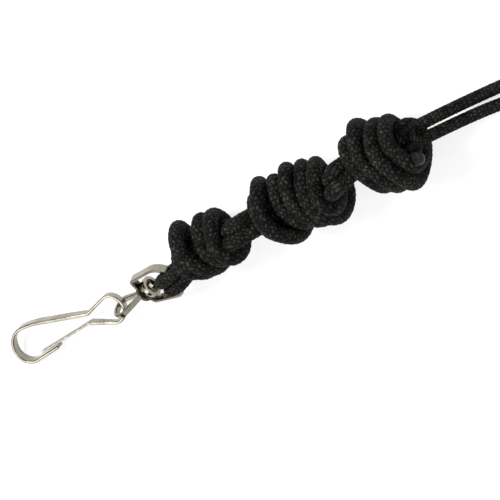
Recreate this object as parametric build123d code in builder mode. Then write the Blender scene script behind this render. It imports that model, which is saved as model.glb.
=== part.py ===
from build123d import *
import math
import os

os.makedirs("parts", exist_ok=True)

# A braided-cord call lanyard lying on a table: a sprung strip hook, a swivel eye riveted
# through a stirrup bow, a doubled cord with three knots and a neck cord put away in a tied hank.
# Millimetres, +Z up, +X from the hook towards the neck cord, z = 0 is the table.

# ---- cord and knots ----
cord_d = 4.0
strand_gap = 0.15
wrap_lay = 4.35
wrap_tilt = 22.0
knot_1_length = 22.4
knot_1_width = 22.4
knot_1_wraps = 4
knot_2_length = 32.4
knot_2_width = 24.6
knot_2_wraps = 6
knot_3_length = 26.4
knot_3_width = 23.4
knot_3_wraps = 5
knot_end_radius = 5.4
bow_to_knot_1 = 14.2
link_1_length = 8.0
link_2_length = 6.0
knot_1_y, knot_2_y, knot_3_y = 0.4, 0.0, 0.6
sealed_end_length = 8.5
sealed_end_swell = 0.3
sealed_end_from_knot = (-5.5, -3.6, 18.2)
sealed_end_direction = (0.8, -0.12, 0.6)

# ---- swivel bow ----
bow_x = -25.7
bow_y = -3.3
bow_z = 6.9
bow_length = 17.2
bow_width = 13.4
bow_base_high_side = 6.4
bow_base_low_side = 4.6
bow_base_bulge = 0.9
bow_corner_radius = 1.2
bow_band_width = 2.9
bow_band_thickness = 0.9
bow_roll = 33.0
bow_pitch = 16.0
bow_yaw = 0.0
base_boss_radius = 3.1
stem_clearance = 0.08
bar_clearance = 0.4
bight_across = 1.2
bight_skew = 1.1
bar_sag = 0.35
leg_past_bar = 2.4
leg_sink = 1.0
entry_twist = 40.0
leg_turn = 44.0
entry_drop = 0.9

# ---- swivel eye and its collar ----
eye_length = 13.4
eye_width = 7.5
eye_strip_width = 1.7
eye_strip_thickness = 1.1
eye_neck_length = 1.3
eye_leg_gap = 0.1
eye_yaw = 8.0
eye_pitch = 5.0
eye_roll = -38.0
clinch_spread = 0.6
clinch_length = 0.9
collar_radius = 3.4
collar_length = 2.1
collar_floor = 0.8
collar_recess_radius = 2.4
collar_seat_edge = 1.2
collar_rim_edge = 0.35
collar_seat_gap = 0.9

# ---- snap hook, one bent strip, and its sprung arm ----
strip_thickness = 1.0
strip_width = 3.4
strip_width_at_eye = 2.2
strip_edge_radius = 0.2
hook_eye_radius = 4.7
hook_eye_top_angle = 38.0
hook_slope = 2.0
hook_roll = 15.0
hook_grip_angle = -17.0
link_clearance = 2.6
gate_thickness = 0.7
gate_width = 2.3
gate_clearance = 0.1

# The strip's centre line, in the hook's plane, from its round end's centre.
hook_tip = (-23.5, -2.9)
hook_throat = (-32.9, -3.72)
hook_far_end = (-37.95, 1.2)
hook_back = (-31.2, 7.55)
hook_shoulder = (-24.5, 6.65)
hook_crimp = (-7.8, 2.03)
hook_rise = 15.0
gate_pivot = (-9.2, -0.8)
gate_end = (-29.8, -2.1)
taper_start = -16.0
taper_end = -4.0

# ---- neck cord, put away in a tied hank past the knots, in line with them ----
coil_from_knot = 65.0
coil_y = -0.9
coil_run = 56.0
coil_ring_radii = (10.0, 14.0)
coil_layers = 2
coil_edge_radius = 1.9
tie_width = 5.0
tie_thickness = 0.6
tie_clearance = 0.45
# Corners of each neck cord; x is counted from the last knot's end.
neck_out = [
    (0, 2.8, 10.5),
    (6.0, 2.7, 9.5),
    (13.5, 2.3, 4.6),
    (21.0, 1.9, 2.1),
    (30.0, 1.6, 2.0),
    (37.0, 2.3, 2.0),
    (43.5, 5.4, 2.1),
    (49.5, 10.9, 2.4),
    (57.0, 13.1, 2.6),
]
neck_back = [
    (0, -3.0, 10.4),
    (6.0, -3.1, 9.3),
    (13.5, -3.2, 4.5),
    (21.0, -3.3, 2.1),
    (30.0, -3.9, 2.1),
    (37.0, -5.2, 2.3),
    (43.5, -8.2, 3.6),
    (49.5, -12.9, 5.4),
    (57.0, -14.9, 6.6),
]


def turned(x, y, z, roll, pitch, yaw):
    """A direction rolled about X, pitched nose up and turned about Z, in degrees."""
    return Vector(x, y, z).rotate(Axis.X, roll).rotate(Axis.Y, -pitch).rotate(Axis.Z, yaw)


def tangent_angle(centre, radius, point, side):
    """Polar angle, in degrees, where a line from point touches the circle on one side."""
    away = Vector(*point) - Vector(*centre)
    bearing = math.degrees(math.atan2(away.Y, away.X))
    return bearing + side * math.degrees(math.acos(radius / away.length))


def polar(centre, radius, angle):
    """A point on a circle, in the sketch's own plane."""
    turn = math.radians(angle)
    return (centre[0] + radius * math.cos(turn), centre[1] + radius * math.sin(turn))


# ---- places worked out from the sizes above ----
strand_pitch = cord_d + strand_gap
knot_1_start = bow_x + bow_to_knot_1
knot_1_end = knot_1_start + knot_1_length
knot_2_start = knot_1_end + link_1_length
knot_2_end = knot_2_start + knot_2_length
knot_3_start = knot_2_end + link_2_length
knot_3_end = knot_3_start + knot_3_length
sealed_end_base = Vector(*sealed_end_from_knot) + Vector(knot_3_end, 0, 0)
out_points = [(knot_3_end + x, y, z) for x, y, z in neck_out]
back_points = [(knot_3_end + x, y, z) for x, y, z in neck_back]
coil_centre = (knot_3_end + coil_from_knot, coil_y)

bow_half = bow_length / 2
bow_plane = Plane(
    origin=(bow_x, bow_y, bow_z),
    x_dir=turned(1, 0, 0, bow_roll, bow_pitch, bow_yaw),
    z_dir=turned(0, 0, 1, bow_roll, bow_pitch, bow_yaw),
)
bar_u = bow_half - bow_band_thickness / 2
bow_bar = bow_plane.from_local_coords(Vector(bar_u, 0, 0))
base_seat = bow_plane.from_local_coords(Vector(-bow_half, 0, 0))

# The eye's plane: X runs from the bow's base towards the hook, Y across the loop.
eye_out = turned(-1, 0, 0, 0, eye_pitch, eye_yaw)
eye_across = turned(0, 0, 1, -eye_roll, eye_pitch, eye_yaw)
eye_plane = Plane(origin=base_seat, x_dir=eye_out, z_dir=eye_out.cross(eye_across))
eye_tip_radius = (eye_width - eye_strip_thickness) / 2
eye_tip_centre = (eye_length - eye_strip_thickness / 2 - eye_tip_radius, 0)
eye_leg = (eye_strip_thickness + eye_leg_gap) / 2
stem_radius = math.hypot(eye_leg + eye_strip_thickness / 2, eye_strip_width / 2)
collar_seat = bow_band_thickness + collar_seat_gap

# The hook hangs on the eye's far end, its round end running through the eye.
hook_x = turned(1, 0, 0, hook_roll, hook_slope, 0)
hook_normal = turned(0, 0, 1, hook_roll, hook_slope, 0)
hook_through = eye_length - eye_strip_thickness - link_clearance - strip_thickness / 2
hook_grip = hook_x.rotate(Axis((0, 0, 0), hook_normal), hook_grip_angle) * hook_eye_radius
hook_centre = eye_plane.from_local_coords(Vector(hook_through, 0, 0)) - hook_grip
hook_plane = Plane(origin=hook_centre, x_dir=hook_x, z_dir=hook_normal)


# ---- snap hook ----
shoulder_angle = tangent_angle((0, 0), hook_eye_radius, gate_pivot, 1)
eye_top_start = polar((0, 0), hook_eye_radius, hook_eye_top_angle)
rise_direction = Vector(1, 0).rotate(Axis.Z, hook_rise)
top_direction = Vector(1, 0).rotate(Axis.Z, hook_eye_top_angle - 90)
# How far both lines run back from where they would cross, so that an arc joins them.
gap_to_top = Vector(*eye_top_start) - Vector(*hook_crimp)
trim = gap_to_top.cross(rise_direction).Z / top_direction.cross(rise_direction).Z
top_corner = Vector(*eye_top_start) - top_direction * trim
rise_end = top_corner - rise_direction * trim


def across_strip(edge):
    """True for an edge that runs from one face of the strip to the other."""
    return abs((edge % 0.5).dot(hook_plane.z_dir)) > 0.9


with BuildPart() as snap_hook:
    with BuildSketch(hook_plane):
        with BuildLine() as hook_path:
            tip_line = Line(hook_tip, hook_throat)
            low_bend = TangentArc(hook_throat, hook_far_end, tangent=tip_line % 1)
            high_bend = TangentArc(hook_far_end, hook_back, tangent=low_bend % 1)
            TangentArc(hook_back, hook_shoulder, tangent=high_bend % 1)
            Line(hook_shoulder, hook_crimp)
            rise = Line(hook_crimp, (rise_end.X, rise_end.Y))
            TangentArc((rise_end.X, rise_end.Y), eye_top_start, tangent=rise % 1)
            CenterArc(
                (0, 0),
                hook_eye_radius,
                hook_eye_top_angle,
                shoulder_angle - 360 - hook_eye_top_angle,
            )
            Line(polar((0, 0), hook_eye_radius, shoulder_angle), gate_pivot)
        trace(line_width=strip_thickness)
    extrude(amount=strip_width / 2, both=True)
    # Both faces' outlines are eased, so that no edge cuts the hand.
    fillet(snap_hook.edges().filter_by(across_strip, reverse=True), radius=strip_edge_radius)
    # The strip narrows towards the eye.
    with BuildSketch(Plane(hook_plane.origin, x_dir=hook_plane.x_dir, z_dir=-hook_plane.y_dir)):
        with BuildLine():
            Polyline(
                (hook_far_end[0] - strip_thickness, strip_width / 2),
                (taper_start, strip_width / 2),
                (taper_end, strip_width_at_eye / 2),
                (hook_eye_radius + strip_thickness, strip_width_at_eye / 2),
                (hook_eye_radius + strip_thickness, -strip_width_at_eye / 2),
                (taper_end, -strip_width_at_eye / 2),
                (taper_start, -strip_width / 2),
                (hook_far_end[0] - strip_thickness, -strip_width / 2),
                close=True,
            )
        make_face()
    extrude(amount=3 * hook_eye_radius, both=True, mode=Mode.INTERSECT)
    # A round seat for the sprung arm's root.
    with BuildSketch(hook_plane):
        with Locations(gate_pivot):
            Circle(gate_thickness / 2 + gate_clearance)
    extrude(amount=strip_width, both=True, mode=Mode.SUBTRACT)
snap_hook.part.label = "snap_hook"
export_step(snap_hook.part, "parts/snap_hook.step")


# ---- sprung arm of the hook ----
with BuildPart() as spring_gate:
    with BuildSketch(hook_plane):
        with BuildLine():
            Line(gate_pivot, gate_end)
        trace(line_width=gate_thickness)
        with Locations(gate_pivot, gate_end):
            Circle(gate_thickness / 2)
    extrude(amount=gate_width / 2, both=True)
spring_gate.part.label = "spring_gate"
export_step(spring_gate.part, "parts/spring_gate.step")


# ---- swivel eye: one strip bent to a loop, its two legs clinched inside the collar ----
neck_touch = tangent_angle(eye_tip_centre, eye_tip_radius, (eye_neck_length, eye_leg), -1)
clinch_start = -(collar_seat + collar_floor)
with BuildPart() as swivel_eye:
    with BuildSketch(eye_plane):
        with BuildLine():
            for side in (1, -1):
                Polyline(
                    (clinch_start - clinch_length, side * (eye_leg + clinch_spread)),
                    (clinch_start, side * eye_leg),
                    (eye_neck_length, side * eye_leg),
                    (
                        polar(eye_tip_centre, eye_tip_radius, neck_touch)[0],
                        side * polar(eye_tip_centre, eye_tip_radius, neck_touch)[1],
                    ),
                )
            CenterArc(eye_tip_centre, eye_tip_radius, neck_touch, -2 * neck_touch)
        trace(line_width=eye_strip_thickness)
    extrude(amount=eye_strip_width / 2, both=True)
swivel_eye.part.label = "swivel_eye"
export_step(swivel_eye.part, "parts/swivel_eye.step")


# ---- collar: a turned cup that the legs are clinched in ----
with BuildPart() as swivel_collar:
    with BuildSketch(eye_plane):
        with BuildLine():
            Polyline(
                (-collar_seat, stem_radius),
                (-collar_seat, collar_radius),
                (-collar_seat - collar_length, collar_radius),
                (-collar_seat - collar_length, collar_recess_radius),
                (-collar_seat - collar_floor, collar_recess_radius),
                (-collar_seat - collar_floor, stem_radius),
                close=True,
            )
        cup_section = make_face()
        outer_corners = cup_section.vertices().sort_by(Axis.Y)[-2:].sort_by(Axis.X)
        fillet(outer_corners[-1], radius=collar_seat_edge)
        fillet(outer_corners[0], radius=collar_rim_edge)
    revolve(axis=Axis(eye_plane.origin, eye_plane.x_dir))
swivel_collar.part.label = "swivel_collar"
export_step(swivel_collar.part, "parts/swivel_collar.step")


# ---- bow: a flat band bent to a stirrup, its ends joined in a bossed base ----
with BuildPart() as swivel_bow:
    with BuildSketch(bow_plane) as bow_ring:
        with BuildLine():
            shoulder_u = bow_base_bulge - bow_half
            arc_u = bow_half - bow_width / 2
            low_corner = (shoulder_u, -bow_base_low_side)
            high_corner = (shoulder_u, bow_base_high_side)
            Line((arc_u, -bow_width / 2), low_corner)
            ThreePointArc(low_corner, (-bow_half, 0), high_corner)
            Line(high_corner, (arc_u, bow_width / 2))
            ThreePointArc((arc_u, bow_width / 2), (bow_half, 0), (arc_u, -bow_width / 2))
        make_face()
        fillet(bow_ring.vertices().sort_by(Axis.X)[:2], radius=bow_corner_radius)
        offset(bow_ring.face(), amount=-bow_band_thickness, mode=Mode.SUBTRACT)
    extrude(amount=bow_band_width / 2, both=True)
    base_plane = Plane(base_seat, x_dir=bow_plane.y_dir, z_dir=bow_plane.x_dir)
    with BuildSketch(base_plane):
        Circle(base_boss_radius)
    extrude(amount=bow_band_thickness)
    with BuildSketch(Plane(eye_plane.origin, x_dir=eye_plane.y_dir, z_dir=-eye_plane.x_dir)):
        Circle(stem_radius + stem_clearance)
    extrude(amount=2 * bow_band_thickness, both=True, mode=Mode.SUBTRACT)
swivel_bow.part.label = "swivel_bow"
export_step(swivel_bow.part, "parts/swivel_bow.step")


# ---- cord folded round the bow's far bar, its legs sunk a little in the first knot ----
fold_w = bow_band_width / 2 + bar_clearance + cord_d / 2
fold_radius = math.hypot(fold_w, bight_skew)
fold_u = bar_u - bar_sag - fold_radius
over_v = bight_across - bight_skew
under_v = bight_across + bight_skew
leg_u = bar_u - bar_sag + leg_past_bar
entry_y = knot_1_y - entry_drop
entry_z = knot_1_width / 2 - entry_drop
entry_side = strand_pitch / 2 * math.cos(math.radians(entry_twist))
entry_rise = strand_pitch / 2 * math.sin(math.radians(entry_twist))
bight_points = [
    (knot_1_start + leg_sink, entry_y - entry_side, entry_z + entry_rise),
    bow_plane.from_local_coords(Vector(leg_u, over_v, fold_w)),
    bow_plane.from_local_coords(Vector(fold_u, over_v, fold_w)),
    bow_plane.from_local_coords(Vector(fold_u, under_v, -fold_w)),
    bow_plane.from_local_coords(Vector(leg_u, under_v, -fold_w)),
    (knot_1_start + leg_sink, entry_y + entry_side, entry_z - entry_rise),
]


def corner_radii(points, most=1000.0):
    """Each corner's arc: 0.45 of its shorter run, divided by the tangent of half the turn."""
    radii = []
    for before, corner, after in zip(points, points[1:], points[2:]):
        run_in = Vector(*corner) - Vector(*before)
        run_out = Vector(*after) - Vector(*corner)
        half_turn = math.radians(run_in.get_angle(run_out) / 2)
        radii.append(min(0.45 * min(run_in.length, run_out.length) / math.tan(half_turn), most))
    return radii


def cord_tube(name, points, radii):
    """One cord along straight runs joined by tangent arcs, written as its own piece."""
    with BuildPart() as tube:
        with BuildLine() as route:
            FilletPolyline(*points, radius=radii)
        with BuildSketch(Plane(origin=route.line @ 0, z_dir=route.line % 0)):
            Circle(cord_d / 2)
        sweep()
    tube.part.label = name
    export_step(tube.part, f"parts/{name}.step")
    length = route.wires()[0].length
    ratio = tube.part.volume / (math.pi * (cord_d / 2) ** 2 * length)
    tight = ", ".join(f"{r:.1f}" for r in radii)
    print(f"{name}: {length:.1f} mm, volume ratio {ratio:.4f}, radii {tight}")
    return tube


leg_radius = 0.8 * leg_past_bar / math.tan(math.radians(leg_turn / 2))
bight_radii = [leg_radius, 0.97 * fold_radius, 0.97 * fold_radius, leg_radius]
cord_bight = cord_tube("cord_bight", bight_points, bight_radii)


# ---- knots: a core with the wraps laid round it, slanted, and a flat face where cords enter ----
def knot(name, start, length, y, width, wraps):
    """A wrapped knot from its left face, resting on the table."""
    ring_radius = (width - cord_d) / 2
    centre = Vector(start + length / 2, y, width / 2)
    with BuildPart() as lump:
        with BuildSketch(Plane(origin=centre, x_dir=(1, 0, 0), z_dir=(0, -1, 0))):
            with BuildLine():
                Line((-length / 2, 0), (-length / 2, knot_end_radius))
                ThreePointArc(
                    (-length / 2, knot_end_radius),
                    (0, ring_radius),
                    (length / 2, knot_end_radius),
                )
                Line((length / 2, knot_end_radius), (length / 2, 0))
                Line((length / 2, 0), (-length / 2, 0))
            make_face()
        revolve(axis=Axis(centre, (1, 0, 0)))
        for i in range(wraps):
            along = (i - (wraps - 1) / 2) * wrap_lay
            bulge = 1 - 0.12 * (2 * along / length) ** 2
            wrap_plane = Plane(
                origin=centre + Vector(along, 0, 0),
                x_dir=turned(0, 1, 0, 0, 0, wrap_tilt),
                z_dir=turned(1, 0, 0, 0, 0, wrap_tilt),
            )
            with BuildSketch(Plane(wrap_plane.origin, x_dir=wrap_plane.x_dir, z_dir=wrap_plane.y_dir)):
                with Locations((ring_radius * bulge, 0)):
                    Circle(cord_d / 2)
            revolve(axis=Axis(wrap_plane.origin, wrap_plane.z_dir))
    lump.part.label = name
    export_step(lump.part, f"parts/{name}.step")
    print(f"{name}: {lump.part.bounding_box()}")
    return lump


knot_1 = knot("knot_1", knot_1_start, knot_1_length, knot_1_y, knot_1_width, knot_1_wraps)
knot_2 = knot("knot_2", knot_2_start, knot_2_length, knot_2_y, knot_2_width, knot_2_wraps)
knot_3 = knot("knot_3", knot_3_start, knot_3_length, knot_3_y, knot_3_width, knot_3_wraps)


# ---- the two strands between neighbouring knots ----
def link(name, start, end, y, z):
    """Both strands, side by side, from one knot's face to the next."""
    with BuildPart() as pair:
        with BuildSketch(Plane(origin=(start, y, z), x_dir=(0, 1, 0), z_dir=(1, 0, 0))):
            with Locations((-strand_pitch / 2, 0), (strand_pitch / 2, 0)):
                Circle(cord_d / 2)
        extrude(amount=end - start)
    pair.part.label = name
    export_step(pair.part, f"parts/{name}.step")
    return pair


link_1_z = (knot_1_width + knot_2_width) / 4
link_2_z = (knot_2_width + knot_3_width) / 4
link_1 = link("link_cords_1", knot_1_end, knot_2_start, (knot_1_y + knot_2_y) / 2, link_1_z)
link_2 = link("link_cords_2", knot_2_end, knot_3_start, (knot_2_y + knot_3_y) / 2, link_2_z)


# ---- melted cord ends, standing out of the last knot ----
def cut_end(name, base, direction):
    """A cord end cut and melted to a slightly swollen, rounded stub."""
    with BuildPart() as stub:
        with BuildSketch(Plane(origin=base, z_dir=direction)):
            Circle(cord_d / 2)
        extrude(amount=sealed_end_length)
        tip = base + Vector(*direction).normalized() * sealed_end_length
        tip_plane = Plane(origin=tip, z_dir=direction)
        with BuildSketch(tip_plane.offset(-1.0)):
            Circle(cord_d / 2 + sealed_end_swell)
        extrude(amount=1.6)
        fillet(stub.faces().sort_by(Axis(tip_plane.origin, tip_plane.z_dir))[-1].edges(), radius=1.0)
    stub.part.label = name
    export_step(stub.part, f"parts/{name}.step")
    return stub


sealed_end = cut_end("sealed_end", sealed_end_base, sealed_end_direction)


# ---- neck cord ----
neck_cord_out = cord_tube("neck_cord_out", out_points, corner_radii(out_points))
neck_cord_back = cord_tube("neck_cord_back", back_points, corner_radii(back_points))

coil_section_width = coil_ring_radii[-1] - coil_ring_radii[0] + cord_d
coil_outside = 2 * coil_ring_radii[-1] + cord_d
coil_inside = coil_outside - 2 * coil_section_width
coil_height = coil_layers * cord_d
coil_middle = (coil_ring_radii[0] + coil_ring_radii[-1]) / 2
coil_z = tie_thickness + coil_height / 2
with BuildPart() as neck_cord_coil:
    with BuildSketch(Plane.XY.offset(tie_thickness)):
        with Locations((coil_centre[0] + coil_run / 2, coil_centre[1])):
            SlotCenterToCenter(coil_run, coil_outside)
            SlotCenterToCenter(coil_run, coil_inside, mode=Mode.SUBTRACT)
    extrude(amount=coil_height)
    fillet(neck_cord_coil.edges().filter_by(Plane.XY), radius=coil_edge_radius)
neck_cord_coil.part.label = "neck_cord_coil"
export_step(neck_cord_coil.part, "parts/neck_cord_coil.step")

with BuildPart() as coil_tie:
    tie_inner = coil_section_width + 2 * tie_clearance
    tie_outer_edge = coil_edge_radius + tie_thickness
    tie_place = Vector(coil_centre[0] + coil_run + coil_middle, coil_centre[1], coil_z)
    with BuildSketch(Plane(origin=tie_place, x_dir=(1, 0, 0), z_dir=(0, -1, 0))):
        RectangleRounded(tie_inner + 2 * tie_thickness, 2 * coil_z, tie_outer_edge)
        RectangleRounded(tie_inner, coil_height, coil_edge_radius, mode=Mode.SUBTRACT)
    extrude(amount=tie_width / 2, both=True)
coil_tie.part.label = "coil_tie"
export_step(coil_tie.part, "parts/coil_tie.step")
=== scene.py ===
import bpy, math
import numpy as np
from mathutils import Matrix, Vector


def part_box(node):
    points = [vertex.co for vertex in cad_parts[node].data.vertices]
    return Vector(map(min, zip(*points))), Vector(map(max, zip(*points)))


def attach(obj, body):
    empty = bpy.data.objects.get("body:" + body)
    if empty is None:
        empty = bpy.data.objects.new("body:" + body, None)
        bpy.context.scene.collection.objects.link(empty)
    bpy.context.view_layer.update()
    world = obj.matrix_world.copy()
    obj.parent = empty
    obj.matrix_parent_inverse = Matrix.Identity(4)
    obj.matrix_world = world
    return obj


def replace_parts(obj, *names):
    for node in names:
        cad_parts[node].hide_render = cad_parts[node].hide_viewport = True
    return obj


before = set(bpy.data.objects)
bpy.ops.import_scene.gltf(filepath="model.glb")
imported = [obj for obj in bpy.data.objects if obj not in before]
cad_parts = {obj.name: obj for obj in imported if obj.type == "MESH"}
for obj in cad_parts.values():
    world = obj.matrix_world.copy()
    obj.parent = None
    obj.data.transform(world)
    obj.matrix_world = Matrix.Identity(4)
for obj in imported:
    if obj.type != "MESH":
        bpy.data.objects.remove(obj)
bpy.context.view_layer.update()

# A braided call lanyard: strip hook, swivel and bow in bright nickel, and a black cord folded
# round the bow, doubled and tied in three knots, with its neck cord put up in a tied hank.
# X runs from the hook to the neck cord, Y across and Z up; the table is z = 0.
# Lengths in the dictionaries are millimetres unless said; everything is built in metres.

mm = 0.001
print("frame loaded")


def clearSelection():
    bpy.ops.object.select_all(action="DESELECT")
    bpy.context.view_layer.objects.active = None


def makeActive(obj):
    clearSelection()
    obj.select_set(True)
    bpy.context.view_layer.objects.active = obj


# ---- shader helpers ----
class Sock:
    # a socket whose sums add Math nodes

    def __init__(self, tree, link):
        self.tree, self.link = tree, link

    def maths(self, operation, *values):
        return self.tree.node("ShaderNodeMath", {"operation": operation}, dict(enumerate(values)))

    def __add__(self, other): return self.maths("ADD", self, other)
    def __radd__(self, other): return self.maths("ADD", other, self)
    def __sub__(self, other): return self.maths("SUBTRACT", self, other)
    def __rsub__(self, other): return self.maths("SUBTRACT", other, self)
    def __mul__(self, other): return self.maths("MULTIPLY", self, other)
    def __pow__(self, other): return self.maths("POWER", self, other)

    def round(self): return self.maths("ROUND", self)
    def cos(self): return self.maths("COSINE", self)
    def root(self): return self.maths("SQRT", self)
    def atLeast(self, other): return self.maths("MAXIMUM", self, other)
    def atMost(self, other): return self.maths("MINIMUM", self, other)


class Shader:
    def __init__(self, name):
        self.material = bpy.data.materials.new(name)
        self.material.use_nodes = True
        self.nodes = self.material.node_tree.nodes
        self.links = self.material.node_tree.links
        self.skin = self.nodes["Principled BSDF"]

    def node(self, kind, settings=None, inputs=None, output=0):
        made = self.nodes.new(kind)
        for key, value in (settings or {}).items():
            setattr(made, key, value)
        for key, value in (inputs or {}).items():
            if isinstance(value, Sock):
                self.links.new(value.link, made.inputs[key])
            else:
                made.inputs[key].default_value = value
        return Sock(self, made.outputs[output])

    def place(self):
        # where a point lies on the object itself
        return self.node("ShaderNodeTexCoord", output=3)

    def mark(self, name):
        # how strongly the mesh is marked with this attribute
        return self.node("ShaderNodeAttribute", {"attribute_name": name}, output=2)

    def noise(self, place, scale, detail):
        return self.node("ShaderNodeTexNoise", inputs={"Vector": place, "Scale": scale, "Detail": detail})

    def between(self, factor, first, second):
        return self.node("ShaderNodeMix", {"data_type": "RGBA"}, {0: factor, 6: first, 7: second}, output=2)

    def bump(self, height, strength, depth):
        return self.node("ShaderNodeBump", inputs={"Height": height, "Strength": strength, "Distance": depth})

    def set(self, **values):
        for key, value in values.items():
            socket = self.skin.inputs[key.replace("_", " ")]
            if isinstance(value, Sock):
                self.links.new(value.link, socket)
            else:
                socket.default_value = value
        return self


# ---- materials ----
braid = {
    "radius": 2.0,  # of the cord where it is drawn thin
    "slackRadius": 2.5,  # of the cord where it is knotted
    "carriers": 10,  # threads each way round
    "lay": 13.0,  # length in which a thread goes once round
    "relief": 0.40,  # depth of the gaps between threads
    "weave": 0.36,  # how far threads rise and dip
    "threadFill": 1.85,  # higher is a narrower thread
}
cordLook = {
    # thread is the cord's own black and the worn colour its lighter worn stitches; gap is painted shade, the near black
    # laid into the gaps between threads
    "thread": (0.0016, 0.0016, 0.0015, 1), "wearAndPaintedReflection": (0.054, 0.052, 0.046, 1), "gap": (0.0003, 0.0003, 0.0003, 1),
    "roughness": 0.55, "gloss": 0.05, "bump": 0.85, "bumpDepth": 0.0004,
    "fuzzScale": 2600.0, "patchScale": 260.0, "plies": 21,
    "patchFloor": 0.42, "patchWear": 0.8, "plyWear": 0.12, "stitchWear": 0.55,
    "gapFrom": 0.5, "gapGain": 2.0, "gapPower": 1.4,
    "highLift": 0.75, "plyLift": 0.05, "fuzzLift": 0.25, "fuzzRough": 0.25,
}
tipLook = {
    "blobScale": 1300.0, "low": 0.35, "blobs": 0.4, "blobLift": 2.0, "bump": 1.0, "bumpDepth": 0.0010,
    "roughness": 0.5, "smoother": 0.36, "gloss": 0.35,
}
nickelLook = {
    # edge is the dark brown of a painted reflection, laid on the strip's rolled corners
    "light": (0.36, 0.34, 0.285, 1), "dark": (0.14, 0.12, 0.09, 1), "edge": (0.030, 0.024, 0.016, 1),
    "roughness": 0.12, "bump": 0.16, "bumpDepth": 0.0004,
    "cloudScale": 220.0, "scratchScale": 900.0, "scratchStretch": (1.0, 6.0, 9.0), "rippleScale": 420.0,
    "cloudFloor": 0.3, "cloudGain": 1.4, "edgePlain": 0.7, "edgeCloud": 0.6,
    "scratchLift": 0.25, "scratchRough": 0.12, "cloudRough": 0.1,
}
strapLook = {
    "loopScale": 2200.0, "patchScale": 500.0, "patchShare": 0.4, "bump": 0.6, "bumpDepth": 0.0003,
    "roughness": 0.85, "patchRough": 0.1, "gloss": 0.3,
}
typicalRough = 0.1  # what the roughness noises add up to, about, so that it is taken off again
floatPhase = 2.5  # how far, in threads, the floats of one set are shifted against the other's


def braidPattern(shader):
    # Shader copy of braidHeight: u and v count the threads of each set, and right and left say how high each set lies.
    around = shader.node("ShaderNodeSeparateXYZ", inputs={0: shader.node("ShaderNodeUVMap", {"uv_map": "braid"})})
    along = Sock(shader, around.link.node.outputs[1])
    n, w = braid["carriers"], braid["weave"]
    u, v = (around - along) * n, (around + along) * n
    i, j = u.round(), v.round()
    rightFloat = ((v - i - 0.5) * (math.pi / 2)).cos()
    leftFloat = ((u - j + floatPhase) * (math.pi / 2)).cos()
    rightAcross, leftAcross = (u - i) * braid["threadFill"], (v - j) * braid["threadFill"]
    rightThread = (1 - rightAcross * rightAcross).atLeast(0).root()
    leftThread = (1 - leftAcross * leftAcross).atLeast(0).root()
    right = rightThread * (1 - w) + rightFloat * w
    left = leftThread * (1 - w) + leftFloat * w
    return u, v, right, left


def braidedBlack(s):
    shader = Shader("braidedBlack")
    u, v, right, left = braidPattern(shader)
    high = right.atLeast(left).atLeast(0)
    onRight = right.maths("GREATER_THAN", right, left)
    # plies lie along each thread, so their lines run with the thread that is on top
    n = s["plies"]
    plies = (u * n + v * 3).cos() * onRight + (v * n + u * 3).cos() * (1 - onRight)
    place = shader.place()
    fuzz, patch = shader.noise(place, s["fuzzScale"], 3.0), shader.noise(place, s["patchScale"], 2.0)
    # each stitch has its own wear, so the braid looks mottled
    cell = shader.node("ShaderNodeCombineXYZ", inputs={0: u.round(), 1: v.round(), 2: onRight})
    stitch = shader.node("ShaderNodeTexWhiteNoise", inputs={0: cell})
    wear = (patch - s["patchFloor"]) * s["patchWear"] + plies * s["plyWear"] + stitch ** 2.0 * s["stitchWear"]
    thread = shader.between(wear, s["thread"], s["wearAndPaintedReflection"])
    # painted shade: where the braid lies low, between the threads, the colour goes to the near black gap colour
    onTop = (((high - s["gapFrom"]) * s["gapGain"]).atLeast(0) ** s["gapPower"]).atMost(1)
    height = high * s["highLift"] + plies * s["plyLift"] + fuzz * s["fuzzLift"]
    shader.set(
        Base_Color=shader.between(onTop, s["gap"], thread), Specular_IOR_Level=s["gloss"],
        Roughness=fuzz * s["fuzzRough"] + (s["roughness"] - typicalRough),
        Normal=shader.bump(height, s["bump"], s["bumpDepth"]))
    return shader.material


def meltedTip(s):
    # Braid that has run together: the same black, smoother and glossier where the mesh is marked melt.
    shader = Shader("meltedTip")
    u, v, right, left = braidPattern(shader)
    melt = shader.mark("melt")
    blob = shader.noise(shader.place(), s["blobScale"], 4.0)
    high = right.atLeast(left).atLeast(0) * (1 - melt) + melt * (s["low"] + blob * s["blobs"])
    # painted shade: the low places of the braid take the near black gap colour
    shader.set(
        Base_Color=shader.between(high, cordLook["gap"], cordLook["thread"]), Specular_IOR_Level=s["gloss"],
        Roughness=s["roughness"] - melt * s["smoother"],
        Normal=shader.bump(high + blob * s["blobLift"], s["bump"], s["bumpDepth"]))
    return shader.material


def brightNickel(s):
    shader = Shader("brightNickel")
    place = shader.place()
    cloud = shader.noise(place, s["cloudScale"], 3.0)
    rub = shader.node("ShaderNodeMapping", inputs={0: place, 3: s["scratchStretch"]})
    scratch = shader.noise(rub, s["scratchScale"], 4.0)
    ripple = shader.noise(place, s["rippleScale"], 1.0)
    # the plating's own colour, with darker cloudy patches laid at random: painted reflections of dark surroundings
    face = shader.between((cloud - s["cloudFloor"]) * s["cloudGain"], s["light"], s["dark"])
    # painted reflection: the rolled corners of the strip are painted a dark brown, standing in for the dark
    # surroundings that the plating would mirror there
    wearAndPaintedReflection = (shader.mark("corner") * (s["edgePlain"] + cloud * s["edgeCloud"])).atMost(1)
    shader.set(
        Base_Color=shader.between(wearAndPaintedReflection, face, s["edge"]), Metallic=1.0,
        Roughness=scratch * s["scratchRough"] + cloud * s["cloudRough"] + (s["roughness"] - typicalRough),
        Normal=shader.bump(scratch * s["scratchLift"] + ripple, s["bump"], s["bumpDepth"]))
    return shader.material


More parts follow.
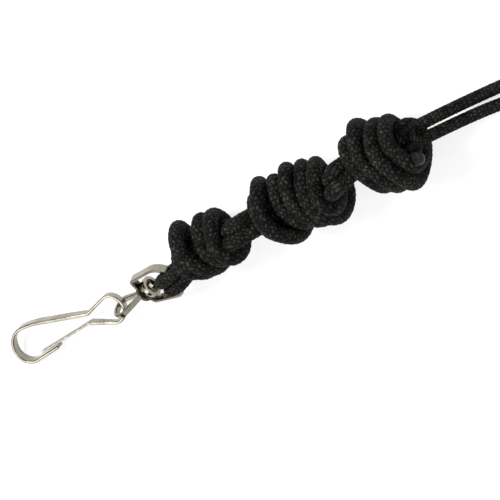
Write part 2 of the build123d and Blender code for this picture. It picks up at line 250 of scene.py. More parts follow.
def strapFelt(s):
    shader = Shader("strapFelt")
    place = shader.place()
    loops = shader.node("ShaderNodeTexVoronoi", inputs={"Vector": place, "Scale": s["loopScale"]})
    patch = shader.noise(place, s["patchScale"], 2.0)
    # painted shade: the colour goes darker between the raised loops, towards the near black gap colour, with random
    # patches added
    shader.set(
        Base_Color=shader.between(loops + patch * s["patchShare"], cordLook["wearAndPaintedReflection"], cordLook["gap"]),
        Specular_IOR_Level=s["gloss"], Roughness=s["roughness"] - patch * s["patchRough"],
        Normal=shader.bump(1 - loops, s["bump"], s["bumpDepth"]))
    return shader.material


cordSkin, tipSkin = braidedBlack(cordLook), meltedTip(tipLook)
nickelSkin, strapSkin = brightNickel(nickelLook), strapFelt(strapLook)
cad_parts["swivel_collar"].material_slots[0].material = nickelSkin
print("materials ready")

# ---- metal ----
# Each strip is a copy of its solid, tumbled until its edges are round.
# grain is the mesh size and passes how long it tumbles.
strips = [
    {"name": "bentHook", "node": "snap_hook", "body": "hook", "grain": 0.15, "passes": 9},
    {"name": "sprungGate", "node": "spring_gate", "body": "gate", "grain": 0.13, "passes": 5},
    {"name": "linkEye", "node": "swivel_eye", "body": "swivel", "grain": 0.13, "passes": 9},
    {"name": "cordBow", "node": "swivel_bow", "body": "bow", "grain": 0.13, "passes": 9},
]
tumbling = {"weld": 0.0005, "smooth": 0.5}
# corners are marked where the surface leans this far from the strip's face, a share of square on
# where they are marked, the metal gets a dark brown painted reflection
cornerMark = {"lean": 0.58, "spread": 0.30, "gain": 1.5}


def tumbledStrip(s):
    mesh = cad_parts[s["node"]].data.copy()
    strip = bpy.data.objects.new(s["name"], mesh)
    bpy.context.scene.collection.objects.link(strip)
    makeActive(strip)
    bpy.ops.object.mode_set(mode="EDIT")
    bpy.ops.mesh.select_all(action="SELECT")
    bpy.ops.mesh.remove_doubles(threshold=tumbling["weld"] * mm)
    bpy.ops.object.mode_set(mode="OBJECT")
    even = strip.modifiers.new("even", "REMESH")
    even.mode, even.voxel_size, even.use_smooth_shade = "VOXEL", s["grain"] * mm, True
    tumble = strip.modifiers.new("tumble", "SMOOTH")
    tumble.factor, tumble.iterations = tumbling["smooth"], s["passes"]
    for name in ("even", "tumble"):
        bpy.ops.object.modifier_apply(modifier=name)
    bpy.ops.object.shade_smooth()
    mesh = strip.data
    mesh.materials.clear()
    mesh.materials.append(nickelSkin)
    points, normals = np.zeros(len(mesh.vertices) * 3), np.zeros(len(mesh.vertices) * 3)
    mesh.vertices.foreach_get("co", points)
    mesh.vertices.foreach_get("normal", normals)
    points, normals = points.reshape(-1, 3), normals.reshape(-1, 3)
    flat = np.linalg.svd(points - points.mean(0), full_matrices=False)[2][2]
    off = np.abs(np.abs(normals @ flat) - cornerMark["lean"]) / cornerMark["spread"]
    mark = mesh.attributes.new("corner", "FLOAT", "POINT")
    mark.data.foreach_set("value", np.clip(cornerMark["gain"] - off, 0, 1))
    print(s["name"], len(mesh.polygons), "faces")
    return strip


for strip in strips:
    piece = tumbledStrip(strip)
    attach(piece, strip["body"])
    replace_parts(piece, strip["node"])


# ---- curve helpers, in millimetres ----
def runAlong(points):
    # How far along the line each point lies.
    return np.r_[0, np.cumsum(np.linalg.norm(np.diff(points, axis=0), axis=1))]


def evenly(points, step):
    # The same line with points an even step apart.
    points = np.asarray(points, float)
    run = runAlong(points)
    count = max(int(round(run[-1] / step)), 4)
    at = np.linspace(0, run[-1], count + 1)
    return np.stack([np.interp(at, run, points[:, k]) for k in range(3)], 1)


def smoothThrough(points, step):
    # A Catmull-Rom line through the points, evenly spaced.
    perSpan = 20
    p = np.asarray(points, float)
    p = np.vstack([2 * p[0] - p[1], p, 2 * p[-1] - p[-2]])
    t = np.linspace(0, 1, perSpan, endpoint=False)[:, None]
    line = []
    for a, b, c, d in zip(p, p[1:], p[2:], p[3:]):
        line.append(0.5 * (2 * b + (c - a) * t + (2 * a - 5 * b + 4 * c - d) * t**2
                           + (3 * b - a - 3 * c + d) * t**3))
    return evenly(np.vstack(line + [p[-2][None]]), step)


def lineLength(points):
    return float(np.linalg.norm(np.diff(points, axis=0), axis=1).sum())


# ---- braided cord ----
def braidHeight(around, along):
    # Height of the braid, 0 to 1, in turns round the cord and lays along it; each thread goes over two, under two.
    u = braid["carriers"] * (around - along)
    v = braid["carriers"] * (around + along)
    i, j = np.round(u), np.round(v)
    rightFloat = np.cos(math.pi / 2 * (v - i - 0.5))
    leftFloat = np.cos(math.pi / 2 * (u - j + floatPhase))
    rightThread = np.sqrt(np.clip(1 - (braid["threadFill"] * (u - i)) ** 2, 0, 1))
    leftThread = np.sqrt(np.clip(1 - (braid["threadFill"] * (v - j)) ** 2, 0, 1))
    w = braid["weave"]
    high = np.maximum(rightThread * (1 - w) + w * rightFloat, leftThread * (1 - w) + w * leftFloat)
    return np.clip(high, 0, 1)


def untwistedSides(points, side):
    # A sideways direction for each point that follows the line without twisting round it.
    forward = np.gradient(points, axis=0)
    forward /= np.linalg.norm(forward, axis=1)[:, None]
    sides = []
    for f in forward:
        side = side - f * (side @ f)
        side /= np.linalg.norm(side)
        sides.append(side)
    return forward, np.array(sides)


def nurbsLine(name, controls, perPoint):
    # Points along a smooth NURBS spline of order 3 with these control points, all in millimetres.
    curve = bpy.data.curves.new(name, "CURVE")
    curve.dimensions = "3D"
    spline = curve.splines.new("NURBS")
    spline.points.add(len(controls) - 1)
    spline.points.foreach_set("co", np.c_[np.array(controls) * mm, np.ones(len(controls))].ravel())
    spline.order_u = 3
    spline.use_endpoint_u = True
    spline.resolution_u = perPoint
    holder = bpy.data.objects.new(name, curve)
    bpy.context.scene.collection.objects.link(holder)
    bpy.context.view_layer.update()
    mesh = bpy.data.meshes.new_from_object(holder)
    points = np.array([v.co for v in mesh.vertices]) / mm
    bpy.data.objects.remove(holder)
    bpy.data.meshes.remove(mesh)
    apart = 1e-4  # points nearer than this are one point
    keep = np.r_[True, np.linalg.norm(np.diff(points, axis=0), axis=1) > apart]
    return points[keep]


def braidedTube(name, points, sides, forward, run, around, radius=None):
    # A closed braided tube round the points; run is how far along the cord each one lies.
    rings = len(points)
    up = np.cross(forward, sides)
    turn = np.arange(around) / around
    high = braidHeight(turn[None, :], (run / braid["lay"])[:, None])
    full = braid["radius"] if radius is None else radius[:, None]
    reach = full - braid["relief"] + braid["relief"] * high
    angle = 2 * math.pi * turn
    out = np.cos(angle)[None, :, None] * sides[:, None] + np.sin(angle)[None, :, None] * up[:, None]
    grid = points[:, None] + out * reach[..., None]
    co = np.vstack([grid.reshape(-1, 3), points[:1], points[-1:]]) * mm
    k = np.arange(rings - 1)[:, None] * around
    a = np.arange(around)[None, :]
    b = (a + 1) % around
    quads = np.stack([k + a, k + b, k + around + b, k + around + a], 2).reshape(-1, 4)
    last = (rings - 1) * around
    caps = [(int(y), int(x), rings * around) for x, y in zip(a[0], b[0])]
    caps += [(int(last + x), int(last + y), rings * around + 1) for x, y in zip(a[0], b[0])]
    mesh = bpy.data.meshes.new(name)
    mesh.from_pydata(co.tolist(), [], quads.tolist() + caps)
    corner = np.empty(len(mesh.loops), int)
    mesh.loops.foreach_get("vertex_index", corner)
    uv = np.zeros((len(corner), 2))
    ring, place = np.divmod(corner, around)
    on = ring < rings
    uv[on, 0] = place[on] / around
    uv[on, 1] = run[ring[on]] / braid["lay"]
    wrap = np.zeros(len(corner), bool)
    body = np.arange(len(quads) * 4).reshape(-1, 4)
    seam = (place[body].max(1) == around - 1) & (place[body].min(1) == 0)
    wrap[body[seam]] = True
    uv[wrap & (place == 0), 0] = 1.0
    mesh.uv_layers.new(name="braid").data.foreach_set("uv", uv.ravel())
    mesh.materials.append(cordSkin)
    mesh.shade_smooth()
    mesh.update()
    tube = bpy.data.objects.new(name, mesh)
    bpy.context.scene.collection.objects.link(tube)
    return tube


# ---- knots ----
# length is the knot's before it is drawn tight, loose how wide its turns are then, and size how wide it gets.
# reach is where its cords run to on both sides, at the heights leftRise and rightRise above its middle.
# keep is the part used, along the cord, shift moves it, and turned swaps its ends.
# slant is how far it leans, and wander how far it waves along and across, and where the wave starts.
knots = [
    {"name": "knotOne", "node": "knot_1", "length": 30, "loose": 26, "turns": 2, "startRoll": -40,
     "size": 21.5, "reach": 19.0, "leftRise": 0.0, "rightRise": 11.0, "keep": (-11.6, 13.0), "shift": -0.9,
     "turned": False, "slant": 0.0, "wander": (0.8, 1.0, 1.4)},
    {"name": "knotTwo", "node": "knot_2", "length": 38, "loose": 27, "turns": 3, "startRoll": 0,
     "size": 24.3, "reach": 23.0, "leftRise": 7.0, "rightRise": 11.0, "keep": (-18.0, 18.0), "shift": 0.0,
     "turned": False, "slant": 0.1, "wander": (1.5, 1.0, 2.0)},
    {"name": "knotThree", "node": "knot_3", "length": 30, "loose": 27, "turns": 2, "startRoll": 0,
     "size": 26.0, "reach": 19.0, "leftRise": 3.0, "rightRise": 10.0, "keep": (-14.5, 13.0), "shift": 0.0,
     "turned": True, "slant": 0.1, "wander": (1.4, 1.0, 4.0)},
]
# core is how far from the middle the cord passes through, and inset how far from the ends the turns stay.
loosePath = {"core": 2.4, "inset": 4.5, "perTurn": 12, "entry": 4, "spacing": 1.5}
tightening = {
    "strandGap": 4.8,  # middle to middle of the doubled cord
    "squeeze": 4.15,  # how near two middles may come while it is drawn tight
    "rounds": 420, "step": 1.5, "renewEvery": 8, "settles": 5, "fixedEnds": 3,
    "pull": 0.3, "straighten": 0.15, "push": 0.25,
    "neighbours": 1.57,  # places on one strand nearer than this, in squeezes along it, don't push each other
    "watch": 1.6,  # pairs nearer than this, in squeezes, are looked at
    "atLeast": 30,  # rounds before its size may stop it
    "ends": 4,  # length at each end that its size leaves out
}
# The waves have died out at stillAt from the knot's middle; the last four are the lengths of one radian of wave.
waves = {"stillAt": 14, "fade": 6, "leanY": 4.5, "leanZ": 6, "swayY": 3.5, "swayZ": 4.2}


def knotRoute(knot):
    # Where the doubled cord goes before it is drawn tight: through, back round itself in turns, and through again.
    half, turns, reach = knot["length"] / 2, knot["turns"], knot["reach"]
    core, outer = loosePath["core"], knot["loose"] / 2
    wrap, count = half - loosePath["inset"], int(loosePath["perTurn"] * turns)
    first, last = -90, -90 - 360 * turns
    # places along the knot, out from its middle and round it in degrees
    places = [
        (-reach, knot["leftRise"], 90), (-reach + loosePath["entry"], knot["leftRise"], 90),
        (-half + 1, core * 0.6, 0), (-half * 0.3, core, 0), (half * 0.35, core, 0),
        (half - 2, core * 1.6, -10), (half - 0.5, outer * 0.75, -50)]
    places += [(wrap - 2 * wrap * k / count, outer, first - 360 * turns * k / count) for k in range(count + 1)]
    places += [
        (-half + 0.5, outer * 0.75, last - 40), (-half + 2, core * 1.6, last - 90),
        (-half * 0.35, core, last - 100), (half * 0.3, core, last - 100), (half - 1, core * 0.6, last - 100),
        (reach - loosePath["entry"], knot["rightRise"], 90), (reach, knot["rightRise"], 90)]
    route = [(x, r * math.cos(math.radians(a)), r * math.sin(math.radians(a))) for x, r, a in places]
    return smoothThrough(route, loosePath["spacing"])


def twoStrands(route, apart, startRoll):
    # Two strands side by side along the route, turned just enough to end level.
    roll = math.radians(startRoll)
    forward, sides = untwistedSides(route, np.array([0.0, math.cos(roll), math.sin(roll)]))
    level = np.array([0.0, 1.0, 0.0])
    last = sides[-1]
    need = math.atan2(np.cross(last, level) @ forward[-1], last @ level)
    need = (need + math.pi / 2) % math.pi - math.pi / 2
    turned = []
    for k, (f, side) in enumerate(zip(forward, sides)):
        a = need * k / (len(route) - 1)
        turned.append(side * math.cos(a) + np.cross(f, side) * math.sin(a))
    turned = np.array(turned) * apart / 2
    return [route + turned, route - turned]


def drawTight(strands, size, body, t):
    # Draws the strands short while they push each other apart, until what lies within body is no wider than size.
    thick, step, held = t["squeeze"], t["step"], t["fixedEnds"]
    s = [np.array(x) for x in strands]
    for turn in range(t["rounds"]):
        if turn % t["renewEvery"] == 0:
            s = [np.vstack([x[:1], evenly(x, step)[1:-1], x[-1:]]) for x in s]
            counts = [len(x) for x in s]
            starts = np.cumsum([0] + counts[:-1])
            p = np.vstack(s)
            owner = np.repeat(np.arange(len(s)), counts)
            place = np.concatenate([np.arange(k) for k in counts])
            free = np.ones(len(p), bool)
            for f, k in zip(starts, counts):
                free[f : f + held] = free[f + k - held : f + k] = False
            home = p.copy()
            close = np.abs(place[:, None] - place[None]) * step < t["neighbours"] * thick
            same = (owner[:, None] == owner[None]) & close
            i, j = np.triu_indices(len(p), 1)
            i, j = i[~same[i, j]], j[~same[i, j]]
            near = np.linalg.norm(p[i] - p[j], axis=1) < t["watch"] * thick
            i, j = i[near], j[near]
        for f, k in zip(starts, counts):
            q = p[f : f + k]
            pull, bend = np.zeros_like(q), np.zeros_like(q)
            pull[1:-1] = (q[:-2] + q[2:]) / 2 - q[1:-1]
            bend[1:-1] = pull[1:-1] - (pull[:-2] + pull[2:]) / 2
            q += np.where(free[f : f + k, None], t["pull"] * pull + t["straighten"] * bend, 0)
        for settle in range(t["settles"]):
            gap = p[j] - p[i]
            far = np.linalg.norm(gap, axis=1)
            hit = far < thick
            if not hit.any():
                break
            push = gap[hit] / far[hit][:, None] * ((thick - far[hit]) * t["push"])[:, None]
            moved = np.zeros_like(p)
            np.add.at(moved, i[hit], -push)
            np.add.at(moved, j[hit], push)
            p += np.where(free[:, None], moved, 0)
        p[~free] = home[~free]
        s = np.split(p, np.cumsum(counts)[:-1])
        inside = p[np.abs(p[:, 0]) < body]
        if turn > t["atLeast"] and (np.ptp(inside, axis=0) + thick)[1:].max() < size:
            break
    return s


def wandering(points, slant, along, across, start):
    # Hand-tied turns never lie quite square: they lean and wave a little, all together.
    x, y, z = points.T
    w = waves
    across = across * np.clip((w["stillAt"] - np.abs(x)) / w["fade"], 0, 1)
    return np.stack([
        x + slant * z + along * np.sin(y / w["leanY"] + start) * np.cos(z / w["leanZ"] + start),
        y + across * np.sin(x / w["swayY"] + start),
        z + across * np.cos(x / w["swayZ"] + start)], 1)


def tiedKnot(knot):
    # Both strands of one knot, resting on the table, the one that starts on the +Y side first.
    strands = twoStrands(knotRoute(knot), tightening["strandGap"], knot["startRoll"])
    strands = drawTight(strands, knot["size"], knot["length"] / 2 - tightening["ends"], tightening)
    if knot["turned"]:
        strands = [s[::-1] * (-1, -1, 1) for s in strands]
    strands = [wandering(s, knot["slant"], *knot["wander"]) for s in strands]
    if strands[0][0, 1] < strands[1][0, 1]:
        strands.reverse()
    low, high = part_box(knot["node"])
    middle = np.array((Vector(low) + Vector(high)) / 2) / mm
    middle[0] += knot["shift"]
    middle[2] = braid["slackRadius"] - np.vstack(strands)[:, 2].min()
    print(knot["name"], "holds", " and ".join(str(round(lineLength(s))) for s in strands), "mm of cord")
    trimmed = []
    for s in strands:
        inside = np.flatnonzero((s[:, 0] > knot["keep"][0]) & (s[:, 0] < knot["keep"][1]))
        trimmed.append(s[inside[0] : inside[-1] + 1] + middle)
    return trimmed


# The cord is doubled where it goes round the bow's far side, over it and back under.
# Places along the bow, across it and above it. The second bend lies beside the first, as the band round the bow is
# two cords wide, and both its ends stop inside the first knot.
bight = {
    "origin": (-25.7, -3.3, 6.9), "alongBow": (0.961, 0.0, 0.2756), "acrossBow": (-0.150, 0.839, 0.524),
    "over": [(3.3, 2.3, 3.8), (8.4, 2.3, 3.6), (11.2, 2.3, 2.6)],
    "under": [(3.3, 0.0, -3.8), (8.4, 0.0, -3.6), (11.2, 0.3, -2.5)],
    "secondOver": [(3.3, -1.7, 3.8), (8.4, -1.7, 3.8), (11.2, -1.6, 3.0)], "overEnd": (-9.0, -3.4, 11.0),
    "secondUnder": [(3.3, -2.5, -3.9), (8.4, -2.5, -4.0), (11.2, -2.6, -3.3)], "underEnd": (-9.0, -3.0, 6.5),
}
bowAxes = [np.array(bight["alongBow"]), np.array(bight["acrossBow"])]
bowAxes.append(np.cross(bowAxes[0], bowAxes[1]))


def inBow(corners):
    return [np.array(bight["origin"]) + sum(c * a for c, a in zip(corner, bowAxes)) for corner in corners]


# Neck cord: where it leaves the last knot, the places of the way out and back counted from there, and between them
# the hank: laps are the radius and height of each lap, run the length of its straights, lift its rise at the far end.
neck = {
    "from": 83.7,
    "out": [(0, 3.8, 10.5), (6, 3.8, 9.5), (13.5, 3.6, 4.6), (21, 3.3, 2.1), (30, 2.9, 2.0), (37, 2.9, 2.0),
            (43.5, 5.4, 2.1), (49.5, 10.9, 2.4), (57, 13.1, 2.6)],
    "back": [(0, -0.5, 10.4), (6, -0.6, 9.3), (13.5, -0.9, 4.5), (21, -1.4, 2.1), (30, -2.4, 2.1), (37, -4.4, 2.3),
             (43.5, -8.2, 3.6), (49.5, -12.9, 5.4), (57, -14.9, 6.6)],
    "hankStart": (148.7, -0.9), "run": 56.0, "laps": [(14, 2.05), (10, 2.05), (10, 6.12), (14, 6.12)],
    "lift": 0.6, "runSteps": 7, "bendSteps": 10,
    "lead": 3,  # how far inside the last knot the doubled cord lines up with it
}
# Points per control point of each spline, and the size of the braid's mesh along and round the cord.
fine = {"neckPoints": 16, "cordPoints": 6, "bendPoints": 12, "step": 0.22, "around": 52, "neckAround": 42}
seamSide = np.array([0.0, 0.3, 1.0])  # the side on which the braid's seam starts


def ease(t):
    t = min(max(t, 0.0), 1.0)
    return t * t * (3 - 2 * t)


def hankRoute(s):
    # Two laps inwards on the table, up at the near bend, and two laps outwards on top of them.
    x0, y0 = s["hankStart"]
    route = []

    def put(x, y, z):
        route.append((x0 + x, y0 + y, z + s["lift"] * ease((x - s["run"] + 4) / 10)))

    for lap, (r, z) in enumerate(s["laps"]):
        for k in range(s["runSteps"]):
            put(s["run"] * k / s["runSteps"], r, z)
        for k in range(s["bendSteps"] + 1):
            a = math.radians(90 - 180 * k / s["bendSteps"])
            put(s["run"] + r * math.cos(a), r * math.sin(a), z)
        for k in range(1, s["runSteps"] + 1):
            put(s["run"] * (1 - k / s["runSteps"]), -r, z)
        if lap < len(s["laps"]) - 1:
            nextR, nextZ = s["laps"][lap + 1]
            for k in range(1, s["bendSteps"]):
                t = k / s["bendSteps"]
                a = math.radians(-90 - 180 * t)
                between = r + (nextR - r) * ease((t - 0.35) / 0.65)
                put(between * math.cos(a), between * math.sin(a), z + (nextZ - z) * ease(t / 0.6))
    return route


neckOut = [(neck["from"] + x, y, z) for x, y, z in neck["out"]]
neckBack = [(neck["from"] + x, y, z) for x, y, z in neck["back"]]
neckLine = nurbsLine("neckRoute", neckOut + hankRoute(neck) + neckBack[::-1], fine["neckPoints"])
print("neck cord", round(lineLength(neckLine)), "mm")

# Both halves of the doubled cord, from the bow to the neck cord.
halves = [inBow(bight["over"]), inBow(bight["under"])]  # the upper leg is the one on the -Y side
for knot in knots:
    plusSide, minusSide = tiedKnot(knot)
    firstHigher = halves[0][-1][1] > halves[1][-1][1]
    halves[0].extend(plusSide if firstHigher else minusSide)
    halves[1].extend(minusSide if firstHigher else plusSide)
for half in halves:
    ends = neckOut if (half is halves[0]) == (halves[0][-1][1] > halves[1][-1][1]) else neckBack
    start, onwards = np.array(ends[0]), np.array(ends[1])
    lead = (onwards - start) / np.linalg.norm(onwards - start)
    half.extend([start - lead * neck["lead"], start])

wholeLine = evenly(nurbsLine("cordRoute", halves[0][::-1] + halves[1], fine["cordPoints"]), fine["step"])
wholeForward, wholeSides = untwistedSides(wholeLine, seamSide)
wholeRun = runAlong(wholeLine)
print("doubled cord", round(wholeRun[-1]), "mm")

# Each part of the doubled cord, where it ends along X on both halves, and the CAD node it replaces.
cordParts = [
    ("bight", -11.3, None), ("knotOne", 11.2, "knot_1"), ("linkOne", 18.9, "link_cords_1"),
    ("knotTwo", 51.3, "knot_2"), ("linkTwo", 57.3, "link_cords_2"), ("knotThree", None, "knot_3"),
]
turnBack = int(np.argmin(wholeLine[:, 0]))
# It is thin up to endFrom from either end and bowFrom from the bow's bend, and swells over endOver and bowOver.
thinning = {"endFrom": 4, "endOver": 12, "bowFrom": 8, "bowOver": 8}


def cutPlaces(x):
    # Where one half of the cord leaves each part. It turns back on itself in a knot, so it leaves a knot at the last
    # place before the limit, and any other part at the first place past it.
    places = []
    for name, limit, node in cordParts[:-1]:
        if name.startswith("knot"):
            places.append(int(np.flatnonzero(x <= limit)[-1]))
        else:
            places.append(int(np.flatnonzero(x >= limit)[0]))
    return places + [len(x) - 1]


rightCuts = [turnBack + k for k in cutPlaces(wholeLine[turnBack:, 0])]
leftCuts = [turnBack - k for k in cutPlaces(wholeLine[turnBack::-1, 0])]


def slackness(run):
    # The cord's radius: the braid opens out where it is knotted.
    fromEnd = (np.minimum(run, wholeRun[-1] - run) - thinning["endFrom"]) / thinning["endOver"]
    fromBow = (np.abs(run - wholeRun[turnBack]) - thinning["bowFrom"]) / thinning["bowOver"]
    t = np.clip(np.minimum(fromEnd, fromBow), 0, 1)
    return braid["radius"] + (braid["slackRadius"] - braid["radius"]) * t * t * (3 - 2 * t)


def addCord(tube):
    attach(tube, "cord")
    return tube


def addStretch(name, a, b):
    k = slice(a, b + 1)
    return addCord(braidedTube(
        name, wholeLine[k], wholeSides[k], wholeForward[k], wholeRun[k], fine["around"], radius=slackness(wholeRun[k])))


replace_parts(addStretch("cordBight", leftCuts[0], rightCuts[0]), "cord_bight")

secondBend = [bight["overEnd"]] + inBow(bight["secondOver"][::-1] + bight["secondUnder"]) + [bight["underEnd"]]
secondLine = evenly(nurbsLine("secondBend", secondBend, fine["bendPoints"]), fine["step"])
secondForward, secondSides = untwistedSides(secondLine, seamSide)
addCord(braidedTube("cordBightSecond", secondLine, secondSides, secondForward, runAlong(secondLine), fine["around"]))

for k, (name, limit, node) in enumerate(cordParts[1:]):
    strandA = addStretch(name + "StrandA", leftCuts[k + 1], leftCuts[k])
    addStretch(name + "StrandB", rightCuts[k], rightCuts[k + 1])
    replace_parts(strandA, node)
print("knots tied")

# ---- neck cord, one free cord from the last knot round the hank and back ----
lastSide = wholeSides[-1] if wholeLine[-1][1] > 0 else wholeSides[0]
neckForward, neckSides = untwistedSides(neckLine, lastSide)
neckRun = runAlong(neckLine) + wholeRun[-1]
neckCord = addCord(braidedTube("neckCord", neckLine, neckSides, neckForward, neckRun, fine["neckAround"]))
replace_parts(neckCord, "neck_cord_out", "neck_cord_coil", "neck_cord_back")
tuple(c * mm for c in neckOut[0])

# ---- melted end of the cord ----
# inside is how much of it lies hidden in the last knot, and braidFrom where along the cord its braid starts.
tipEnd = {
    "base": (79.6, -4.0, 17.2), "towards": (0.86, -0.25, 0.45), "length": 6.5, "inside": 4.0,
    "melted": 2.2, "meltGain": 1.6, "swell": 0.1, "step": 0.2, "braidFrom": 20,
    "cap": 2.0, "capRings": 12, "roundOver": 1.6, "thinnest": 0.0004,
}


def meltedEnd(s):
    towards = np.array(s["towards"]) / np.linalg.norm(s["towards"])
    capStart = s["length"] - s["cap"]
    capPlaces = s["length"] - s["cap"] * np.cos(np.linspace(0, math.pi / 2, s["capRings"]))
    places = np.unique(np.round(np.r_[np.arange(-s["inside"], capStart, s["step"]), capPlaces], 4))
    line = np.array(s["base"]) + towards * places[:, None]
    forward, sides = untwistedSides(line, np.array([0.0, 0.0, 1.0]))
    fromTip = s["length"] - places
    melt = np.clip((s["melted"] - fromTip) / s["melted"] * s["meltGain"], 0, 1)
    dome = np.sqrt(np.clip(1 - np.clip(1 - fromTip / s["roundOver"], 0, 1) ** 2, s["thinnest"], 1))
    radius = (braid["radius"] + s["swell"] * melt) * dome
    tube = braidedTube("sealedEnd", line, sides, forward, places + s["braidFrom"], fine["around"], radius=radius)
    tube.data.materials[0] = tipSkin
    mark = tube.data.attributes.new("melt", "FLOAT", "POINT")
    mark.data.foreach_set("value", np.r_[np.repeat(melt, fine["around"]), 0, 1])
    return tube


sealedEnd = meltedEnd(tipEnd)
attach(sealedEnd, "cord")
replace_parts(sealedEnd, "sealed_end")

# ---- strap round the hank, as big as the CAD tie ----
strap = {"thickness": 0.7, "corner": 1.7, "cornerSteps": 6, "edge": 0.2, "edgeSteps": 2, "smoothUnder": 40}
alongY = 0.9  # a direction counts as along Y above this


def coilStrap(s):
    low, high = (Vector(c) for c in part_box("coil_tie"))
    size, middle = high - low, (high + low) / 2
    clearSelection()
    bpy.ops.mesh.primitive_cube_add(size=1, location=middle, scale=size)
    band = bpy.context.object
    band.name = "coilStrap"
    bpy.ops.object.transform_apply(location=True, rotation=True, scale=True)
    bpy.ops.object.mode_set(mode="EDIT")
    bpy.ops.mesh.select_all(action="DESELECT")
    bpy.ops.mesh.select_mode(type="FACE")
    bpy.ops.object.mode_set(mode="OBJECT")
    for face in band.data.polygons:
        face.select = abs(face.normal.y) > alongY
    bpy.ops.object.mode_set(mode="EDIT")
    bpy.ops.mesh.delete(type="ONLY_FACE")
    bpy.ops.mesh.select_mode(type="EDGE")
    bpy.ops.mesh.select_all(action="DESELECT")
    bpy.ops.object.mode_set(mode="OBJECT")
    for edge in band.data.edges:
        a, b = (band.data.vertices[k].co for k in edge.vertices)
        edge.select = abs((b - a).normalized().y) > alongY
    bpy.ops.object.mode_set(mode="EDIT")
    bpy.ops.mesh.bevel(offset=(s["corner"] + s["thickness"]) * mm, segments=s["cornerSteps"])
    bpy.ops.object.mode_set(mode="OBJECT")
    wall = band.modifiers.new("wall", "SOLIDIFY")
    wall.thickness, wall.offset = s["thickness"] * mm, -1
    edgeRound = band.modifiers.new("edgeRound", "BEVEL")
    edgeRound.width, edgeRound.segments, edgeRound.limit_method = s["edge"] * mm, s["edgeSteps"], "ANGLE"
    for name in ("wall", "edgeRound"):
        bpy.ops.object.modifier_apply(modifier=name)
    bpy.ops.object.shade_smooth_by_angle(angle=math.radians(s["smoothUnder"]))
    band.data.materials.append(strapSkin)
    return band


coilBand = coilStrap(strap)
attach(coilBand, "cord")
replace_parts(coilBand, "coil_tie")
print("neck cord, melted end and strap made")


# ---- floor, cards, camera, lamps, world: places and sizes in metres ----
studio = {
    "floorSize": 6.0, "floorMiddle": (0.04, 0, 0),
    "glow": 0.74,  # share of the floor's white that no shadow darkens
    "skyLight": 0.5, "white": (1.0, 1.0, 1.0, 1),
}


def whiteFloor(s):
    # The floor shows white to the eye and in the metal, and still takes part of the shadow.
    shader = Shader("whiteFloor")
    shader.set(Base_Color=s["white"], Roughness=1.0, Specular_IOR_Level=0.0)
    path = shader.node("ShaderNodeLightPath")
    rays = path.link.node.outputs
    seen = path + Sock(shader, rays["Is Glossy Ray"]) + Sock(shader, rays["Is Transmission Ray"])
    glow = shader.node("ShaderNodeEmission", inputs={"Color": s["white"], "Strength": 1.0})
    plain = Sock(shader, shader.skin.outputs[0])
    mixed = shader.node("ShaderNodeMixShader", inputs={0: seen.atMost(1) * s["glow"], 1: plain, 2: glow})
    shader.links.new(mixed.link, shader.nodes["Material Output"].inputs["Surface"])
    return shader.material


clearSelection()
bpy.ops.mesh.primitive_plane_add(size=studio["floorSize"], location=studio["floorMiddle"])
floor = bpy.context.object
floor.name = "floor"
floor.data.materials.append(whiteFloor(studio))

# Dark cards that only the gloss sees give the bright metal something to mirror, as in a jeweller's light tent.
# towards is the direction from the hook in which a card stands.
cardsAround = {"hook": (-0.05, 0, 0.004), "colour": (0.035, 0.028, 0.02, 1)}
cards = [
    {"name": "cardLeft", "towards": (-0.53, 0.73, 0.45), "far": 0.40, "wide": 0.45, "high": 0.50},
    {"name": "cardFront", "towards": (-0.45, -0.87, 0.20), "far": 0.40, "wide": 0.20, "high": 0.60},
    {"name": "cardEnd", "towards": (0.90, 0.35, 0.35), "far": 0.40, "wide": 0.22, "high": 0.40},
]
cardShader = Shader("darkCard")
cardShader.set(Base_Color=cardsAround["colour"], Roughness=1.0, Specular_IOR_Level=0.0)
for card in cards:
    away = Vector(card["towards"]).normalized()
    place, facing = Vector(cardsAround["hook"]) + away * card["far"], away.to_track_quat("Z", "Y")
    clearSelection()
    bpy.ops.mesh.primitive_plane_add(size=1, location=place, rotation=facing.to_euler())
    board = bpy.context.object
    board.name = card["name"]
    board.scale = (card["wide"], card["high"], 1)
    board.data.materials.append(cardShader.material)
    board.visible_camera = board.visible_diffuse = board.visible_shadow = board.visible_transmission = False
print("floor and cards placed")

cameraSettings = {
    "tilt": 32.0,  # degrees from straight down, towards +X
    "roll": 27.0,  # degrees that +X rises to the right
    "aim": (3.9, -6.6, 0.0),
    "span": 151.5,  # width of the view at the aim point
    "distance": 5000.0,
    "sensor": 36.0,
    "clip": (0.1, 200),  # metres
}


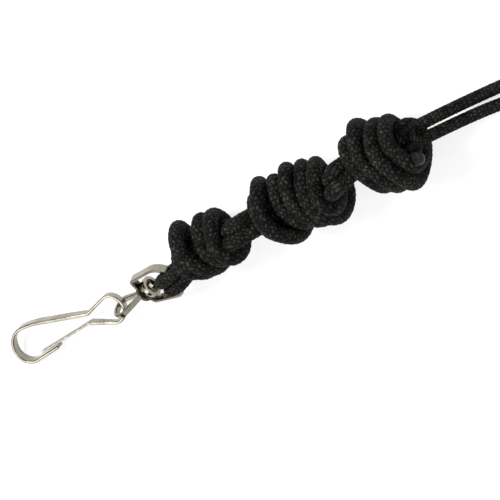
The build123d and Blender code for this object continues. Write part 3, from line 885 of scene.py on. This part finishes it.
def addCamera(s):
    tilt, roll = math.radians(s["tilt"]), math.radians(s["roll"])
    flat = Vector((math.cos(tilt), 0, -math.sin(tilt)))
    across = Vector((0, 1, 0))
    back = Vector((math.sin(tilt), 0, math.cos(tilt)))
    right = flat * math.cos(roll) - across * math.sin(roll)
    up = flat * math.sin(roll) + across * math.cos(roll)
    data = bpy.data.cameras.new("camera")
    data.sensor_width = s["sensor"]
    data.lens = s["sensor"] * s["distance"] / s["span"]
    data.clip_start, data.clip_end = s["clip"]
    view = Matrix((right, up, back)).transposed().to_4x4()
    view.translation = (Vector(s["aim"]) + back * s["distance"]) * mm
    camera = bpy.data.objects.new("camera", data)
    bpy.context.scene.collection.objects.link(camera)
    camera.matrix_world = view
    bpy.context.scene.camera = camera


addCamera(cameraSettings)

lamps = [
    {"name": "keyLamp", "size": 0.4, "watts": 8, "place": (-0.25, 0.3, 0.6), "aim": (0.02, 0, 0)},
    {"name": "fillLamp", "size": 0.7, "watts": 3, "place": (0.45, -0.35, 0.5), "aim": (0.02, 0, 0)},
    {"name": "skyLamp", "size": 0.3, "watts": 0.6, "place": (-0.29, -0.19, 0.33), "aim": (-0.05, 0, 0)},
]
for lamp in lamps:
    data = bpy.data.lights.new(lamp["name"], "AREA")
    data.size, data.energy = lamp["size"], lamp["watts"]
    light = bpy.data.objects.new(lamp["name"], data)
    bpy.context.scene.collection.objects.link(light)
    light.location = lamp["place"]
    light.rotation_mode = "QUATERNION"
    light.rotation_quaternion = (Vector(lamp["place"]) - Vector(lamp["aim"])).to_track_quat("Z", "Y")


def softRoom(s):
    # White to the eye and in the metal, plain light on the object.
    world = bpy.data.worlds.new("softRoom")
    world.use_nodes = True
    nodes, links = world.node_tree.nodes, world.node_tree.links
    rays = nodes.new("ShaderNodeLightPath").outputs
    seen = rays["Is Camera Ray"]
    for kind in ("Is Glossy Ray", "Is Transmission Ray"):
        either = nodes.new("ShaderNodeMath")  # adds the two, up to 1
        either.use_clamp = True
        links.new(seen, either.inputs[0])
        links.new(rays[kind], either.inputs[1])
        seen = either.outputs[0]
    strength = nodes.new("ShaderNodeMix")
    strength.inputs[2].default_value, strength.inputs[3].default_value = s["skyLight"], 1.0
    links.new(seen, strength.inputs[0])
    nodes["Background"].inputs[0].default_value = s["white"]
    links.new(strength.outputs[0], nodes["Background"].inputs[1])
    return world


bpy.context.scene.world = softRoom(studio)
bpy.context.scene.view_settings.view_transform = "Standard"
print("camera, lamps and world set")
